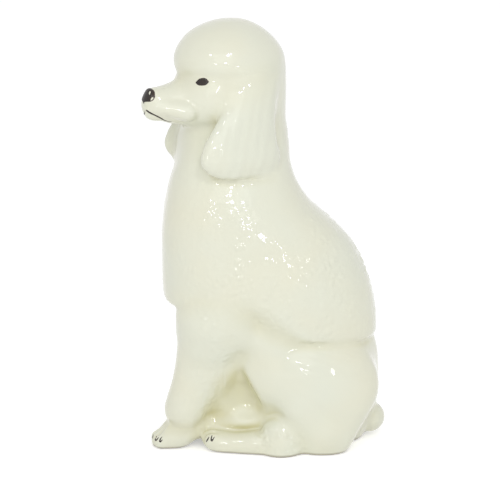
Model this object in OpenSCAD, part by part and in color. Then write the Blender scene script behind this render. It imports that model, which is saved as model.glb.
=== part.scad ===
// Seated poodle ornament: a hollow trunk and head with luted ears, legs, feet and tail, and enamel details.
// It faces the -Y side, its left is +X, and it stands on the plane Z = 0.

/* [Trunk] */
// Height of the seam between the neck and the head
neck_z = 140; // [130:1:150]
// Length of the coat from the chest to the rump
coat_l = 98; // [90:1:106]
// Width of the coat over the ribs
coat_w = 58; // [52:1:62]
// Length of the seat under the coat, from the belly to the rump
seat_l = 77; // [70:1:84]
// Width of the seat between the haunches
seat_w = 52; // [46:1:56]
// Thickness of the cast walls
wall = 4; // [3:0.5:6]
// Diameter of the vent hole in the underside
vent_d = 8; // [6:0.5:10]

/* [Head] */
// Height of the topknot above the neck seam
head_h = 55.5; // [52:0.5:60]
// Length of the topknot, front to back
topknot_l = 50; // [46:1:54]
// Width of the topknot
topknot_w = 44; // [40:1:48]
// Turn of the head towards the left
head_turn = 20; // [0:1:30]
// Reach of the muzzle in front of the neck axis
muzzle_reach = 43.5; // [40:0.5:46]
// Width of the muzzle at the lips
muzzle_w = 17; // [14:0.5:19]

/* [Ears] */
// Length of an ear from its root to its tip
ear_l = 43; // [38:1:46]
// Width of an ear at its broadest
ear_w = 37; // [32:1:40]
// Thickness of an ear at its broadest
ear_t = 11; // [9:0.5:13]

/* [Legs] */
// Length of a foreleg below the coat, from its top to the cuff
foreleg_h = 56; // [52:1:60]
// Depth of a foreleg at its top, front to back
foreleg_l = 38; // [34:1:42]
// Width of a foreleg at its top
foreleg_w = 24; // [20:1:26]
// Length of a front paw
front_paw_l = 21; // [18:0.5:24]
// Width of a front paw
front_paw_w = 13.5; // [12:0.5:15]
// Height of a front paw
front_paw_h = 13; // [11:0.5:15]
// Height of a haunch
haunch_h = 56; // [52:1:60]
// Length of a haunch from the knee to the rump
haunch_l = 61; // [56:1:66]
// Width of a haunch
haunch_w = 30; // [26:1:32]
// Diameter of the curly cuff on a hind leg
cuff_d = 21; // [18:0.5:22]
// Length of a hind paw
hind_paw_l = 28.5; // [24:0.5:30]
// Width of a hind paw
hind_paw_w = 13.5; // [12:0.5:15]
// Height of a hind paw
hind_paw_h = 11.5; // [10:0.5:13]
// Diameter of the ball on the tail
tail_d = 14.6; // [12:0.2:17]

/* [Enamel] */
// Length of an eye
eye_l = 7; // [5:0.2:8]
// Height of an eye
eye_h = 3.3; // [2.6:0.1:4]
// Width of the nose patch
nose_w = 8.6; // [7:0.2:10]
// Height of the nose patch
nose_h = 6.4; // [5:0.2:8]
// Width of a painted line
line_w = 0.9; // [0.6:0.1:1.4]

/* [Hidden] */

// Counts of sides and of steps between the rows of a table
coat_sides = 32;
limb_sides = 24;
cavity_sides = 20;
ball_sides = 16;
stroke_sides = 8;
steps = 2;
left = 1;
right = -1;
// How square the rings of the coat and of a haunch are
coat_full = 2.4;
haunch_full = 2.5;
ivory = "#e9ebdb";
brown_black = "#2b211c";

// Rows of the coat, top to bottom: height as a share of neck_z, chest and back as shares of coat_l,
// half width as a share of coat_w
coat_shares = [
  [1.000, -0.347, 0.109, 0.295],
  [0.943, -0.388, 0.121, 0.345],
  [0.871, -0.431, 0.156, 0.410],
  [0.807, -0.450, 0.213, 0.452],
  [0.739, -0.462, 0.318, 0.478],
  [0.668, -0.467, 0.412, 0.491],
  [0.589, -0.467, 0.469, 0.500],
  [0.510, -0.463, 0.508, 0.502],
  [0.430, -0.450, 0.527, 0.500],
  [0.345, -0.430, 0.527, 0.490]];
// Side view of the hem, front to back: place as a share of coat_l and height as a share of neck_z
hem_shares = [[-0.60, 0.488], [-0.40, 0.478], [-0.20, 0.474], [-0.07, 0.457], [0.03, 0.417],
  [0.14, 0.385], [0.28, 0.367], [0.41, 0.3615], [0.60, 0.3545]];
// Rows of the seat, top to bottom: height as a share of neck_z, belly and rump as shares of seat_l,
// half width as a share of seat_w
seat_shares = [
  [0.460, -0.260, 0.640, 0.500],
  [0.352, -0.286, 0.662, 0.500],
  [0.314, -0.299, 0.680, 0.481],
  [0.257, -0.325, 0.692, 0.462],
  [0.200, -0.343, 0.694, 0.430],
  [0.150, -0.343, 0.690, 0.400],
  [0.100, -0.300, 0.680, 0.385],
  [0.050, -0.235, 0.655, 0.370],
  [0.000, -0.180, 0.604, 0.340]];
vent_y_share = 0.46;

// Rows of the topknot and the back of the head, top to bottom: height above the seam as a share of
// head_h, front and back as shares of topknot_l, half width as a share of topknot_w
head_shares = [
  [1.000, 0.050, 0.000, 0.030],
  [0.987, 0.190, -0.090, 0.140],
  [0.950, 0.315, -0.200, 0.250],
  [0.887, 0.420, -0.300, 0.355],
  [0.823, 0.485, -0.372, 0.425],
  [0.755, 0.530, -0.425, 0.472],
  [0.690, 0.548, -0.453, 0.494],
  [0.630, 0.538, -0.468, 0.496],
  [0.580, 0.490, -0.474, 0.474],
  [0.510, 0.430, -0.478, 0.440],
  [0.360, 0.390, -0.482, 0.400],
  [0.185, 0.370, -0.480, 0.385],
  [0.000, 0.420, -0.472, 0.380]];
// The first of these rows that the cavity reaches
cavity_top = 3;
topknot_y = -13;
// Rows of the face from the cheeks to the lips: reach as a share of muzzle_reach, top and bottom as
// shares of head_h above the seam, half width as a share of muzzle_w
face_shares = [
  [0.000, 0.575, 0.200, 0.980],
  [0.200, 0.590, 0.172, 1.000],
  [0.380, 0.580, 0.164, 0.900],
  [0.520, 0.562, 0.164, 0.755],
  [0.640, 0.533, 0.170, 0.620],
  [0.740, 0.508, 0.182, 0.530],
  [0.830, 0.496, 0.200, 0.475],
  [0.910, 0.490, 0.228, 0.415],
  [0.970, 0.476, 0.268, 0.330],
  [1.000, 0.446, 0.310, 0.190]];
// Course of the mouth line over the face: reach as a share of muzzle_reach, and degrees round the ring
mouth_course_shares = [[1.000, -62], [0.970, -42], [0.910, -42], [0.840, -46], [0.760, -50]];
// Places on the head: reach as a share of muzzle_reach, height as a share of head_h, side as a share of
// topknot_w
eye_place_shares = [0.437, 0.535, 0.225];
eye_depth = 1.5;
eye_outward = 60;
nose_place_shares = [0.955, 0.432, 0];
nose_depth = 3;

// Rows of an ear, top to bottom: drop as a share of ear_l, front and back as shares of ear_w, distance of
// its middle from the head's middle and half thickness as shares of ear_t
ear_shares = [
  [0.000, 0.060, -0.230, 1.34, 0.20],
  [0.120, 0.180, -0.258, 1.48, 0.36],
  [0.300, 0.360, -0.264, 1.62, 0.44],
  [0.480, 0.520, -0.280, 1.74, 0.49],
  [0.660, 0.640, -0.310, 1.82, 0.50],
  [0.800, 0.670, -0.335, 1.84, 0.49],
  [0.900, 0.590, -0.270, 1.80, 0.43],
  [0.965, 0.440, -0.130, 1.76, 0.32],
  [1.000, 0.280, 0.060, 1.72, 0.14]];
ear_root_share = 0.545;

// Rows of a foreleg, top to bottom: height of its front and of its back above the cuff's foot as shares of
// foreleg_h, front and back as shares of foreleg_l, middle and half width as shares of foreleg_w
foreleg_shares = [
  [1.000, 1.000, -0.500, 0.500, 0.540, 0.520],
  [0.840, 0.840, -0.525, 0.440, 0.520, 0.500],
  [0.670, 0.660, -0.535, 0.330, 0.495, 0.465],
  [0.520, 0.500, -0.552, 0.200, 0.470, 0.430],
  [0.380, 0.350, -0.590, 0.050, 0.445, 0.408],
  [0.240, 0.200, -0.650, -0.080, 0.425, 0.398],
  [0.120, 0.080, -0.684, -0.190, 0.415, 0.396],
  [0.050, 0.010, -0.672, -0.240, 0.405, 0.375],
  [0.020, -0.020, -0.600, -0.300, 0.395, 0.325]];
// Foot of the leg as a share of front_paw_h, and middle of its top as a share of coat_l
foreleg_foot_share = 0.923;
foreleg_y_share = -0.199;
// How far the right foreleg, and the right paws, stand behind the left ones
foreleg_back = 5;
paw_back = 4;

// Rows of a haunch, top to bottom: height as a share of haunch_h, front and back as shares of haunch_l,
// middle and half width as shares of haunch_w
haunch_shares = [
  [1.000, 0.060, 0.600, 0.420, 0.370],
  [0.900, -0.070, 0.680, 0.440, 0.415],
  [0.770, -0.155, 0.775, 0.480, 0.460],
  [0.625, -0.140, 0.830, 0.508, 0.495],
  [0.500, -0.060, 0.840, 0.516, 0.505],
  [0.390, 0.040, 0.815, 0.520, 0.500],
  [0.270, 0.125, 0.755, 0.530, 0.475],
  [0.145, 0.190, 0.680, 0.560, 0.425],
  [0.055, 0.225, 0.620, 0.590, 0.375],
  [0.000, 0.250, 0.590, 0.600, 0.335]];
// Balls of the shank, knee to heel: place across, along and up, and radius, as shares of haunch_w
shank_shares = [[0.80, 0.060, 1.260, 0.20], [0.83, 0.420, 0.820, 0.21], [0.78, 0.860, 0.340, 0.225],
  [0.66, 1.060, 0.215, 0.210]];

// Middle of a cuff: across as a share of haunch_w, along as a share of haunch_l, up as a share of cuff_h
cuff_h = 17.5;
cuff_place_shares = [0.683, 0.107, 0.24];
// Heel of a front paw: across as a share of foreleg_w, and ahead of the leg's top as a share of foreleg_l
front_paw_shares = [0.317, 0.304];
// Heel of a hind paw: across as a share of haunch_w, and behind a front paw's heel as a share of hind_paw_l
hind_paw_shares = [0.7, 1.09];
hind_paw_turn = 16;
// Middle of the tail's ball: along as a share of seat_l, up as a share of tail_d
tail_place_shares = [0.6455, 0.58];
// Balls of a paw: place along and up, and half sizes across, along and up, as shares of its own length,
// width and height
paw_heel_shares = [0.22, 0.22, 0.46, 0.30, 0.78];
paw_ball_shares = [0.62, 0.18, 0.50, 0.28, 0.58];
toes = 4;
toe_r_share = 0.148;
toe_gap_share = 0.245;
// How long and how high a toe's ball is for its radius
toe_long_share = 1.7;
toe_high_share = 1.2;
// How far a toe runs back and up along its paw
toe_back_share = 0.25;
toe_rise_share = 0.125;
claw_angles = [18, 62];

// A value between two rows, with a smooth curve through the rows on either side
function curve(a, b, c, d, k) =
  ((3 * (b - c) + d - a) * pow(k, 3) + (2 * a - 5 * b + 4 * c - d) * pow(k, 2) + (c - a) * k + 2 * b) / 2;
function row_at(rows, i) = rows[max(0, min(len(rows) - 1, i))];
function fine_rows(rows, n = steps) = concat(
  [for (i = [0 : len(rows) - 2]) for (j = [0 : n - 1])
    curve(row_at(rows, i - 1), rows[i], row_at(rows, i + 1), row_at(rows, i + 2), j / n)],
  [rows[len(rows) - 1]]);

// A closed ring of points round a middle, along two half axes: fullness 2 is an ellipse, and more is squarer
function swell(x, fullness) = sign(x) * pow(abs(x), 2 / fullness);
function ring(middle, across, along, sides, fullness = 2) =
  [for (i = [0 : sides - 1]) middle + across * swell(cos(360 * i / sides), fullness)
    + along * swell(sin(360 * i / sides), fullness)];

// A level ring from its front to its back
function level_ring(x, front, back, z, half_w, sides, fullness = 2) =
  ring([x, (front + back) / 2, z], [half_w, 0, 0], [0, (back - front) / 2, 0], sides, fullness);

// The skin through a list of flat rings, as a chain of convex bands
module chain(rings) {
  for (i = [0 : len(rings) - 2]) {
    hull() polyhedron(concat(rings[i], rings[i + 1]), [[for (j = [0 : 2 * len(rings[i]) - 1]) j]]);
  }
}

module ball(middle, radii, sides = ball_sides) {
  translate(middle) scale(radii) sphere(r = 1, $fn = sides);
}

// Everything above the plane that the ornament stands on
module above_floor() {
  big = 2 * (neck_z + head_h);
  translate([-big / 2, -big / 2, 0]) cube(big);
}

function coat_rings(skin, sides, n) = [for (r = fine_rows(coat_shares, n))
  level_ring(0, r[1] * coat_l + skin, r[2] * coat_l - skin, r[0] * neck_z, r[3] * coat_w - skin,
    sides, coat_full)];

function seat_rings(skin, sides, n) = [for (r = fine_rows(seat_shares, n))
  level_ring(0, r[1] * seat_l + skin, r[2] * seat_l - skin, r[0] * neck_z, r[3] * seat_w - skin, sides)];

// The space above the hem, as seen from the side
module above_hem(skin) {
  points = [for (p = hem_shares) [p[0] * coat_l, p[1] * neck_z + skin]];
  lid = [[hem_shares[len(hem_shares) - 1][0] * coat_l, neck_z], [hem_shares[0][0] * coat_l, neck_z]];
  rotate([90, 0, 90]) linear_extrude(2 * coat_w, center = true) polygon(concat(points, lid));
}

module trunk_form() {
  intersection() {
    chain(coat_rings(0, coat_sides, steps));
    above_hem(0);
  }
  chain(seat_rings(0, limb_sides, steps));
}

module trunk_cavity() {
  intersection() {
    chain(coat_rings(wall, cavity_sides, 1));
    above_hem(wall);
  }
  intersection() {
    chain(seat_rings(wall, cavity_sides, 1));
    translate([0, 0, wall]) above_floor();
  }
  translate([0, vent_y_share * seat_l, 0])
    cylinder(d = vent_d, h = 3 * wall, center = true, $fn = coat_sides);
}

module torso() {
  color(ivory) difference() {
    trunk_form();
    trunk_cavity();
  }
}

// Moves a shape from the head's own frame, which looks along -Y from the neck axis, to its place
module on_neck() {
  translate([0, topknot_y, neck_z]) rotate([0, 0, head_turn]) children();
}

function skull_rings(skin, sides, n) = [for (r = fine_rows(head_shares, n))
  level_ring(0, -r[1] * topknot_l + skin, -r[2] * topknot_l - skin, r[0] * head_h, r[3] * topknot_w - skin,
    sides)];

function face_rows() = fine_rows(face_shares);

function face_ring(r, sides) =
  ring([0, -r[0] * muzzle_reach, (r[1] + r[2]) / 2 * head_h], [r[3] * muzzle_w, 0, 0],
    [0, 0, (r[1] - r[2]) / 2 * head_h], sides);

module head_form() {
  on_neck() {
    chain(skull_rings(0, coat_sides, steps));
    chain([for (r = face_rows()) face_ring(r, limb_sides)]);
  }
}

module skull_cavity() {
  rings = skull_rings(wall, cavity_sides, 1);
  chain([for (i = [cavity_top : len(rings) - 1]) rings[i]]);
}

module head() {
  color(ivory) difference() {
    head_form();
    on_neck() skull_cavity();
  }
}

module ear_form(side) {
  on_neck() scale([side, 1, 1]) chain([for (r = fine_rows(ear_shares))
    level_ring(r[3] * ear_t, -r[1] * ear_w, -r[2] * ear_w, ear_root_share * head_h - r[0] * ear_l,
      r[4] * ear_t, limb_sides)]);
}

module ear(side) {
  color(ivory) difference() {
    ear_form(side);
    head_form();
    trunk_form();
  }
}

module left_ear() {
  ear(left);
}

module right_ear() {
  ear(right);
}

foreleg_y = foreleg_y_share * coat_l;

// A ring of a foreleg, tipped so that its back can lie lower than its front
function foreleg_ring(r) =
  ring([r[4] * foreleg_w, foreleg_y + (r[2] + r[3]) / 2 * foreleg_l,
      foreleg_foot_share * front_paw_h + (r[0] + r[1]) / 2 * foreleg_h],
    [r[5] * foreleg_w, 0, 0], [0, (r[3] - r[2]) / 2 * foreleg_l, (r[1] - r[0]) / 2 * foreleg_h], limb_sides);

module foreleg_form(side) {
  set_back = side == right ? foreleg_back : 0;
  translate([0, set_back, 0]) scale([side, 1, 1])
    chain([for (r = fine_rows(foreleg_shares)) foreleg_ring(r)]);
}

module foreleg(side) {
  color(ivory) difference() {
    foreleg_form(side);
    trunk_form();
    haunch_form(side);
  }
}

module left_foreleg() {
  foreleg(left);
}

module right_foreleg() {
  foreleg(right);
}

// The size of a paw across, along and up
front_paw_size = [front_paw_w, front_paw_l, front_paw_h];
hind_paw_size = [hind_paw_w, hind_paw_l, hind_paw_h];

module paw_ball(size, s) {
  ball([0, -s[0] * size[1], s[1] * size[2]], [s[2] * size[0], s[3] * size[1], s[4] * size[2]]);
}

function toe_r(size) = toe_r_share * size[0];
function toe_radii(size) = [1, toe_long_share, toe_high_share] * toe_r(size);
function toe_run(size) = [0, toe_back_share * size[1], toe_rise_share * size[2]];
function toe_middle(size, i) =
  [(i - (toes - 1) / 2) * toe_gap_share * size[0], -size[1] + toe_long_share * toe_r(size), toe_r(size)];

// A paw that points along -Y from its heel, with four toes
module paw_form(size) {
  intersection() {
    union() {
      hull() {
        paw_ball(size, paw_heel_shares);
        paw_ball(size, paw_ball_shares);
      }
      for (i = [0 : toes - 1]) {
        hull() {
          ball(toe_middle(size, i), toe_radii(size));
          ball(toe_middle(size, i) + toe_run(size), toe_radii(size));
        }
      }
    }
    above_floor();
  }
}

function heel_y(side) = foreleg_y - front_paw_shares[1] * foreleg_l + (side == right ? paw_back : 0);

module at_front_paw(side) {
  scale([side, 1, 1]) translate([front_paw_shares[0] * foreleg_w, heel_y(side), 0]) children();
}

module at_hind_paw(side) {
  scale([side, 1, 1])
    translate([hind_paw_shares[0] * haunch_w, heel_y(side) + hind_paw_shares[1] * hind_paw_l, 0])
      rotate([0, 0, -hind_paw_turn]) children();
}

module front_paw(side) {
  color(ivory) difference() {
    at_front_paw(side) paw_form(front_paw_size);
    foreleg_form(side);
    trunk_form();
  }
}

module left_front_paw() {
  front_paw(left);
}

module right_front_paw() {
  front_paw(right);
}

module haunch_form(side) {
  scale([side, 1, 1]) {
    chain([for (r = fine_rows(haunch_shares))
      level_ring(r[3] * haunch_w, r[1] * haunch_l, r[2] * haunch_l, r[0] * haunch_h, r[4] * haunch_w,
        limb_sides, haunch_full)]);
    intersection() {
      for (i = [0 : len(shank_shares) - 2]) {
        hull() {
          shank_ball(shank_shares[i]);
          shank_ball(shank_shares[i + 1]);
        }
      }
      above_floor();
    }
  }
}

module shank_ball(s) {
  ball([s[0], s[1], s[2]] * haunch_w, [1, 1, 1] * s[3] * haunch_w);
}

module haunch(side) {
  color(ivory) difference() {
    haunch_form(side);
    trunk_form();
  }
}

module left_haunch() {
  haunch(left);
}

module right_haunch() {
  haunch(right);
}

module cuff_form(side) {
  rise = cuff_h * cuff_place_shares[2];
  intersection() {
    scale([side, 1, 1]) translate([cuff_place_shares[0] * haunch_w, cuff_place_shares[1] * haunch_l, rise])
      ball([0, 0, 0], [cuff_d / 2, cuff_d / 2, cuff_h - rise]);
    above_floor();
  }
}

module hind_cuff(side) {
  color(ivory) difference() {
    cuff_form(side);
    haunch_form(side);
    trunk_form();
  }
}

module left_hind_cuff() {
  hind_cuff(left);
}

module right_hind_cuff() {
  hind_cuff(right);
}

module hind_paw(side) {
  color(ivory) difference() {
    at_hind_paw(side) paw_form(hind_paw_size);
    at_front_paw(side) paw_form(front_paw_size);
    cuff_form(side);
    haunch_form(side);
    trunk_form();
  }
}

module left_hind_paw() {
  hind_paw(left);
}

module right_hind_paw() {
  hind_paw(right);
}

module tail_pompon() {
  color(ivory) difference() {
    intersection() {
      ball([0, tail_place_shares[0] * seat_l, tail_place_shares[1] * tail_d], [1, 1, 1] * tail_d / 2);
      above_floor();
    }
    trunk_form();
    haunch_form(left);
    haunch_form(right);
  }
}

// A place on the head from its reach, height and side shares
function head_place(s) = [s[2] * topknot_w, -s[0] * muzzle_reach, s[1] * head_h];

module eye(side) {
  color(brown_black) difference() {
    on_neck() scale([side, 1, 1]) translate(head_place(eye_place_shares)) rotate([0, 0, eye_outward])
      ball([0, 0, 0], [eye_l / 2, eye_depth, eye_h / 2]);
    head_form();
  }
}

module left_eye() {
  eye(left);
}

module right_eye() {
  eye(right);
}

module nose() {
  color(brown_black) difference() {
    on_neck() ball(head_place(nose_place_shares), [nose_w / 2, nose_depth, nose_h / 2]);
    head_form();
  }
}

// The point on the face at a reach share and at degrees round the ring there
function face_column(k, share) = lookup(share, [for (r = face_shares) [r[0], r[k]]]);
function face_point(p) = let (top = face_column(1, p[0]), bottom = face_column(2, p[0]))
  [face_column(3, p[0]) * muzzle_w * cos(p[1]), -p[0] * muzzle_reach,
    ((top + bottom) + (top - bottom) * sin(p[1])) / 2 * head_h];

module stroke(a, b, r) {
  hull() {
    ball(a, [r, r, r], stroke_sides);
    ball(b, [r, r, r], stroke_sides);
  }
}

module mouth_line() {
  color(brown_black) difference() {
    on_neck() for (side = [left, right]) scale([side, 1, 1]) for (i = [0 : len(mouth_course_shares) - 2]) {
      stroke(face_point(mouth_course_shares[i]), face_point(mouth_course_shares[i + 1]), line_w / 2);
    }
    head_form();
  }
}

// The point on a toe at degrees above its foremost point
function toe_point(size, i, a) = toe_middle(size, i)
  + [0, -toe_long_share * cos(a), toe_high_share * sin(a)] * toe_r(size);

module claw_strokes(size) {
  for (i = [0 : toes - 2]) {
    stroke(toe_point(size, i, claw_angles[0]), toe_point(size, i, claw_angles[1]), line_w / 2);
  }
}

module front_claws(side) {
  color(brown_black) difference() {
    at_front_paw(side) claw_strokes(front_paw_size);
    at_front_paw(side) paw_form(front_paw_size);
  }
}

module left_front_claws() {
  front_claws(left);
}

module right_front_claws() {
  front_claws(right);
}

module hind_claws(side) {
  color(brown_black) difference() {
    at_hind_paw(side) claw_strokes(hind_paw_size);
    at_hind_paw(side) paw_form(hind_paw_size);
  }
}

module left_hind_claws() {
  hind_claws(left);
}

module right_hind_claws() {
  hind_claws(right);
}

torso();
head();
left_ear();
right_ear();
left_foreleg();
right_foreleg();
left_front_paw();
right_front_paw();
left_haunch();
right_haunch();
left_hind_cuff();
right_hind_cuff();
left_hind_paw();
right_hind_paw();
tail_pompon();
nose();
left_eye();
right_eye();
mouth_line();
left_front_claws();
right_front_claws();
left_hind_claws();
right_hind_claws();
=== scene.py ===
import math
import bpy
import numpy as np
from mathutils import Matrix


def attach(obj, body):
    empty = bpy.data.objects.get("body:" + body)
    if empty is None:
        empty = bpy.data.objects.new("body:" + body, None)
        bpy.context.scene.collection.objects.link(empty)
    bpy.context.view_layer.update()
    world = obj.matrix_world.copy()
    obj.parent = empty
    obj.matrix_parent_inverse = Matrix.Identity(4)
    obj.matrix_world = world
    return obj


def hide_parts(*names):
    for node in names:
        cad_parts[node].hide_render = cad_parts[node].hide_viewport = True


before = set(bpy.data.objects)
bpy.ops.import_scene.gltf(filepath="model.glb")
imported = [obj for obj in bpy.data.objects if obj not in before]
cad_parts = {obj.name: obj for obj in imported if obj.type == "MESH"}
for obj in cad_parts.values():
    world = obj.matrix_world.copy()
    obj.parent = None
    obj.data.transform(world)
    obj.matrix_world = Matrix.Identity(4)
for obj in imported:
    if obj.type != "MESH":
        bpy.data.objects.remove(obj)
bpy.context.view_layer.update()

import openvdb
from mathutils import Matrix, Vector, noise

mm = 0.001
tiny = 1e-9   # keeps a division away from zero
sides = {"left": 1, "right": -1}


# Shapes are modelled in millimetres as distance fields, then cut into one closed mesh per casting.
# A table row gives the section at one height. Rows are joined by a smooth curve.
def smoothTable(rows, samples=260):
    rows = np.array(sorted(rows), float)
    t = rows[:, 0]
    step = np.diff(t)
    rise = np.diff(rows, axis=0) / step[:, None]
    slope = np.empty_like(rows)
    slope[0], slope[-1] = rise[0], rise[-1]
    below, above = step[:-1, None], step[1:, None]
    slope[1:-1] = (below * rise[1:] + above * rise[:-1]) / (below + above)
    x = np.linspace(t[0], t[-1], samples)
    i = np.clip(np.searchsorted(t, x, side="right") - 1, 0, len(t) - 2)
    w = step[i]
    u = ((x - t[i]) / w)[:, None]
    w = w[:, None]
    values = ((1 + 2 * u) * (1 - u) ** 2 * rows[i] + u * (1 - u) ** 2 * w * slope[i]
              + u * u * (3 - 2 * u) * rows[i + 1] + u * u * (u - 1) * w * slope[i + 1])
    return x, values


leastSquare = 0.02   # mm2: the square of a half size where a form closes


# Rows are (height, front, back, half width, middle across). The squares of the half sizes, yy and xx, are
# joined, so that a row of no size closes the form with a round end. A d before a name is its slope.
def makeLoft(rows):
    rows = [tuple(r) + (0,) * (5 - len(r)) for r in rows]
    z, v = smoothTable([(z, (f + b) / 2, m, ((b - f) / 2) ** 2, h * h) for z, f, b, h, m in rows])
    loft = {"z": z, "cy": v[:, 1], "cx": v[:, 2],
            "yy": np.maximum(v[:, 3], leastSquare), "xx": np.maximum(v[:, 4], leastSquare)}
    for key in ("cy", "cx", "yy", "xx"):
        loft["d" + key] = np.gradient(loft[key], z)
    return loft


# Fullness 2 makes the sections ellipses, and more makes them squarer
def loftField(x, y, z, loft, fullness=2.0):
    low, high = loft["z"][0], loft["z"][-1]
    zc = np.clip(z, low, high)
    cy, cx, yy, xx, dcy, dcx, dyy, dxx = (
        np.interp(zc, loft["z"], loft[k]) for k in ("cy", "cx", "yy", "xx", "dcy", "dcx", "dyy", "dxx"))
    rx, ry = np.sqrt(xx), np.sqrt(yy)
    dx, dy = x - cx, y - cy
    u, v = dx / rx, dy / ry
    if fullness == 2.0:
        q2 = u * u + v * v + tiny
        qu, qv = 2 * u, 2 * v
    else:
        au, av = np.abs(u) + tiny, np.abs(v) + tiny
        s = au ** fullness + av ** fullness
        q2 = s ** (2 / fullness)
        k = 2 * s ** (2 / fullness - 1)
        qu, qv = k * au ** (fullness - 1) * np.sign(u), k * av ** (fullness - 1) * np.sign(v)
    qx, qy = qu / rx, qv / ry
    qz = -qx * dcx - qy * dcy - qu * u * dxx / (2 * xx) - qv * v * dyy / (2 * yy)
    # inside, the section's area carries the measure; outside, the distance from the middle does
    area = rx * ry
    dArea = (dxx * ry / rx + dyy * rx / ry) / 2
    inner = area * (q2 - 1) / np.sqrt(
        (area * qx) ** 2 + (area * qy) ** 2 + (dArea * (q2 - 1) + area * qz) ** 2 + tiny)
    away = dx * dx + dy * dy
    rest, share = 1 - 1 / q2, away / (q2 * q2)
    outer = away * rest / np.sqrt((2 * dx * rest + share * qx) ** 2 + (2 * dy * rest + share * qy) ** 2
                                  + (share * qz - 2 * (dx * dcx + dy * dcy) * rest) ** 2 + tiny)
    d = np.where(q2 > 1, outer, np.maximum(inner, -np.minimum(rx, ry)))
    past = np.maximum(np.maximum(low - z, z - high), 0)
    return np.where(past > 0, np.hypot(np.maximum(d, 0), past), d)


def ellipsoid(p, middle, radii):
    q = p - np.array(middle, float)
    r = np.array(radii, float)
    k0 = np.sqrt(((q / r) ** 2).sum(1)) + tiny
    k1 = np.sqrt(((q / (r * r)) ** 2).sum(1)) + tiny
    return np.maximum(k0 * (k0 - 1) / k1, -r.min())


# A limb from a to b whose radius goes from ra to rb
def limb(p, a, b, ra, rb):
    a, b = np.array(a, float), np.array(b, float)
    axis = b - a
    t = np.clip(((p - a) @ axis) / (axis @ axis), 0, 1)
    return np.sqrt(((p - a - t[:, None] * axis) ** 2).sum(1)) - (ra + (rb - ra) * t)


def chainOfLimbs(p, stations, fillet):
    d = None
    for (*a, ra), (*b, rb) in zip(stations, stations[1:]):
        e = limb(p, a, b, ra, rb)
        d = e if d is None else melt(d, e, fillet)
    return d


def melt(a, b, fillet):
    h = np.clip(0.5 + 0.5 * (b - a) / fillet, 0, 1)
    return b + (a - b) * h - fillet * h * (1 - h)


def trim(a, b, fillet):
    return -melt(-a, -b, fillet)


# From 0 to 1 between two places, and from 1 to 0
def ramp(x, start, end):
    t = np.clip((x - start) / (end - start), 0, 1)
    return t * t * (3 - 2 * t)


def fall(x, start, end):
    return 1 - ramp(x, start, end)


# From a least share to all of it
def grow(least, x, start, end):
    return least + (1 - least) * ramp(x, start, end)


def turnZ(degrees):
    c, s = math.cos(math.radians(degrees)), math.sin(math.radians(degrees))
    return np.array([[c, -s, 0], [s, c, 0], [0, 0, 1]])


def mirror(p, side):
    return p * np.array([side, 1, 1])


# Trunk: the clipped coat with its hem, and the seat below it. Heights and places in mm.
trunk = {
    "coatFullness": 2.4,
    "coat": [  # height, chest, back, half width
        (160, -13.2, -13.2, 0), (156, -24, -3.5, 7.5), (150, -33.0, 4.5, 12.0), (145, -35.2, 8.6, 14.8),
        (140, -36.4, 10.4, 17.0), (132, -38.6, 11.9, 20.0),
        (122, -42.2, 15.3, 22.7), (113, -44.1, 20.9, 24.8), (103.5, -45.3, 31.2, 26.5),
        (93.5, -45.8, 40.4, 27.9), (82.5, -45.8, 46.0, 29.0), (71.4, -45.4, 49.8, 29.4),
        (60.2, -44.1, 51.6, 29.2), (48.3, -42.1, 51.6, 28.2), (40, -40, 50.0, 26.6)],
    "hem": [  # along the body, height
        (-60, 68.4), (-39, 66.9), (-20, 66.4), (-7, 64.0), (3, 58.4), (14, 53.9), (27, 51.4),
        (40, 50.6), (60, 49.6)],
    "hemSlope": 0.95,   # mm off the leaning hem for each mm under it
    "hemRoll": 3.9,   # how round the hem is, with more at the shoulder
    "shoulderRoll": {"more": 7.0, "behind": (-41, -32), "before": (0, 18)},
    "seat": [
        (66, -20, 49.3, 23.0), (49.3, -22, 51.0, 23.6), (44, -23, 52.3, 23.8), (36, -25, 53.3, 23.4),
        (28, -26.4, 53.4, 22.4), (21, -26.4, 53.1, 20.8), (14, -23.1, 52.4, 20.0), (7, -18.1, 50.4, 19.2),
        (0, -13.9, 46.5, 17.7), (-6, -13, 46, 17.5)],
    "recess": {"middle": (18.0, -10.5, 28.0), "radii": (8.0, 10.0, 15.0), "fillet": 5},
    "flank": {"front": (18.0, -9.0, 56.0), "rear": (18.6, 4.0, 50.5), "radii": (7.6, 7.4), "fillet": 5},
    # the casting is closed between the legs: height, front, back, half width
    "web": [
        (66, -30, 5, 11.0), (50, -31, 5, 12.5), (35, -31, 5, 12.5), (22, -31, 5, 12.0), (14, -31.5, 5, 10.5),
        (10, -31.5, 5, 9.0), (7.6, -30.5, 5, 8.2), (6, -28.5, 5, 8.0), (4.5, -25, 5, 8.0), (2.5, -21, 5, 8),
        (-4, -17, 5, 8)],
    "webLump": {"middle": (0, -9.0, 12.2), "radii": (16.8, 14.5, 6.2), "fillet": 6},
    "webEdge": {"rear": (9.6, -14.5, 7.4), "front": (8.4, -31.0, 9.6), "radii": (4.0, 3.6), "fillet": 5},
    "webFillet": 4,
    "vent": {"along": 35.4, "radius": 4.0, "depth": 9.0, "round": 0.8},
    "footRound": 0.9,
}
coatLoft, seatLoft, webLoft = (makeLoft(trunk[k]) for k in ("coat", "seat", "web"))
hemAlong, hemRows = smoothTable(trunk["hem"])


def coatField(p):
    x, y, z = p.T
    body = loftField(x, y, z, coatLoft, trunk["coatFullness"])
    underHem = (np.interp(y, hemAlong, hemRows[:, 1]) - z) * trunk["hemSlope"]
    roll = trunk["shoulderRoll"]
    shoulder = ramp(y, *roll["behind"]) * fall(y, *roll["before"])
    return trim(body, underHem, trunk["hemRoll"] + roll["more"] * shoulder)


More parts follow.
